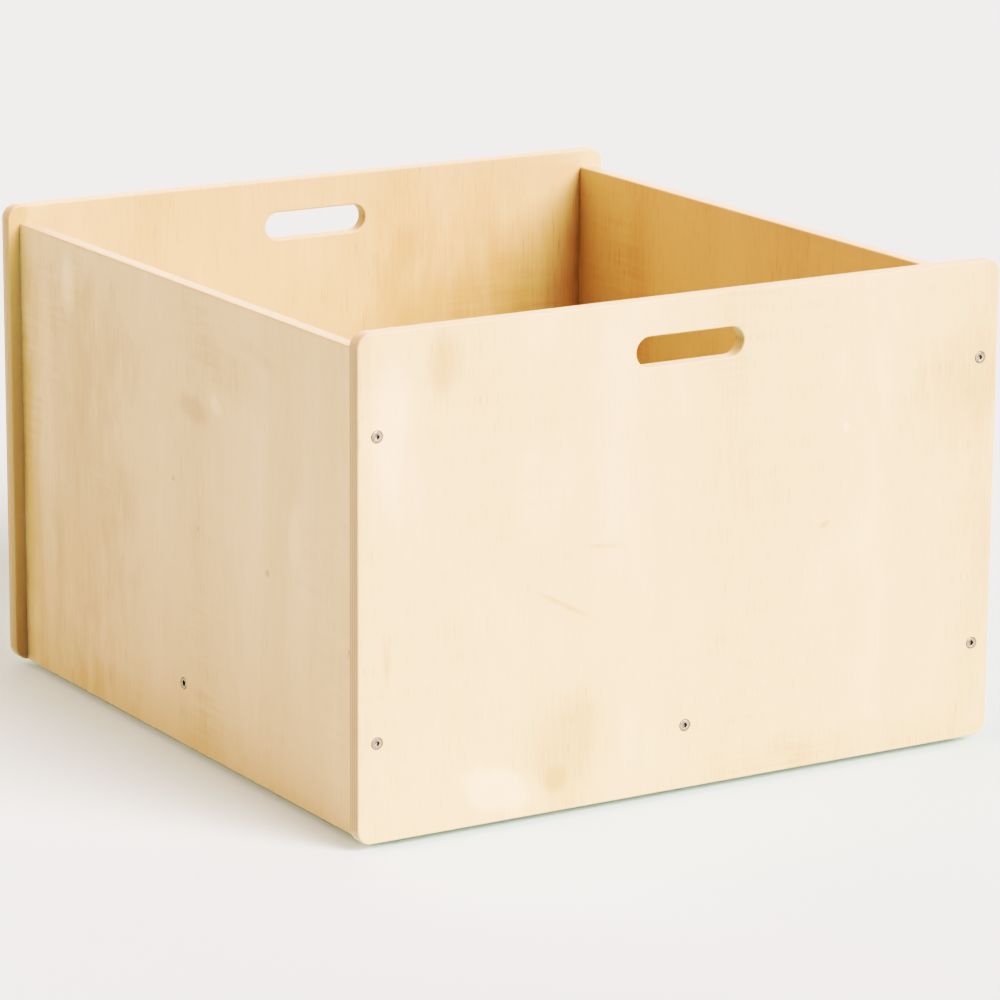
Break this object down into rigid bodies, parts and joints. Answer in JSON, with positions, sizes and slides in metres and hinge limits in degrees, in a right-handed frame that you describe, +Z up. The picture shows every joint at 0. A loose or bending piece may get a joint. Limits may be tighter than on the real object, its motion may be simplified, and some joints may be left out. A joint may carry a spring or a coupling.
{
  "type": "rolling storage bin",
  "caption": "Open-topped plywood bin with overhanging end panels, hand slots, a raised base and low swivel casters under it.",
  "frame": {"origin": "on the floor, under the middle of the bin", "axes": "+Z up; -Y towards the front panel, +Y towards the back panel; +X to the right seen from the front"},
  "size_m": [0.597, 0.61, 0.406],
  "materials": {
    "birch": "clear satin lacquer",
    "screw_zinc": "bright zinc",
    "caster_zinc": "zinc-plated pressed steel",
    "bearing_steel": "polished steel",
    "wheel_plastic": "moulded nylon",
    "tyre_rubber": "matt grey rubber"
  },
  "bodies": {
    "bin": {"front_panel": "birch", "back_panel": "birch", "left_side_panel": "birch", "right_side_panel": "birch", "base_panel": "birch", "front_panel_screws": "screw_zinc", "back_panel_screws": "screw_zinc", "left_side_screw": "screw_zinc", "right_side_screw": "screw_zinc", "front_left_mounting_plate": "caster_zinc", "front_left_plate_screws": "screw_zinc", "front_left_kingpin": "caster_zinc", "front_right_mounting_plate": "caster_zinc", "front_right_plate_screws": "screw_zinc", "front_right_kingpin": "caster_zinc", "back_left_mounting_plate": "caster_zinc", "back_left_plate_screws": "screw_zinc", "back_left_kingpin": "caster_zinc", "back_right_mounting_plate": "caster_zinc", "back_right_plate_screws": "screw_zinc", "back_right_kingpin": "caster_zinc"},
    "front_left_swivel": {"front_left_fork": "caster_zinc", "front_left_race_balls": "bearing_steel", "front_left_thrust_washer": "bearing_steel", "front_left_axle_bolt": "screw_zinc", "front_left_lock_nut": "screw_zinc", "front_left_wheel_sleeve": "bearing_steel"},
    "front_left_wheel": {"front_left_wheel_core": "wheel_plastic", "front_left_tyre": "tyre_rubber"},
    "front_right_swivel": {"front_right_fork": "caster_zinc", "front_right_race_balls": "bearing_steel", "front_right_thrust_washer": "bearing_steel", "front_right_axle_bolt": "screw_zinc", "front_right_lock_nut": "screw_zinc", "front_right_wheel_sleeve": "bearing_steel"},
    "front_right_wheel": {"front_right_wheel_core": "wheel_plastic", "front_right_tyre": "tyre_rubber"},
    "back_left_swivel": {"back_left_fork": "caster_zinc", "back_left_race_balls": "bearing_steel", "back_left_thrust_washer": "bearing_steel", "back_left_axle_bolt": "screw_zinc", "back_left_lock_nut": "screw_zinc", "back_left_wheel_sleeve": "bearing_steel"},
    "back_left_wheel": {"back_left_wheel_core": "wheel_plastic", "back_left_tyre": "tyre_rubber"},
    "back_right_swivel": {"back_right_fork": "caster_zinc", "back_right_race_balls": "bearing_steel", "back_right_thrust_washer": "bearing_steel", "back_right_axle_bolt": "screw_zinc", "back_right_lock_nut": "screw_zinc", "back_right_wheel_sleeve": "bearing_steel"},
    "back_right_wheel": {"back_right_wheel_core": "wheel_plastic", "back_right_tyre": "tyre_rubber"}
  },
  "joints": [
    {"name": "front_left_turn", "type": "hinge", "parent": "bin", "child": "front_left_swivel", "pos_m": [-0.225, -0.242, 0.0476], "axis": [0, 0, 1], "continuous": true},
    {"name": "front_left_spin", "type": "hinge", "parent": "front_left_swivel", "child": "front_left_wheel", "pos_m": [-0.225, -0.226, 0.02], "axis": [1, 0, 0], "continuous": true},
    {"name": "front_right_turn", "type": "hinge", "parent": "bin", "child": "front_right_swivel", "pos_m": [0.225, -0.242, 0.0476], "axis": [0, 0, 1], "continuous": true},
    {"name": "front_right_spin", "type": "hinge", "parent": "front_right_swivel", "child": "front_right_wheel", "pos_m": [0.225, -0.226, 0.02], "axis": [1, 0, 0], "continuous": true},
    {"name": "back_left_turn", "type": "hinge", "parent": "bin", "child": "back_left_swivel", "pos_m": [-0.225, 0.242, 0.0476], "axis": [0, 0, 1], "continuous": true},
    {"name": "back_left_spin", "type": "hinge", "parent": "back_left_swivel", "child": "back_left_wheel", "pos_m": [-0.225, 0.258, 0.02], "axis": [1, 0, 0], "continuous": true},
    {"name": "back_right_turn", "type": "hinge", "parent": "bin", "child": "back_right_swivel", "pos_m": [0.225, 0.242, 0.0476], "axis": [0, 0, 1], "continuous": true},
    {"name": "back_right_spin", "type": "hinge", "parent": "back_right_swivel", "child": "back_right_wheel", "pos_m": [0.225, 0.258, 0.02], "axis": [1, 0, 0], "continuous": true}
  ]
}
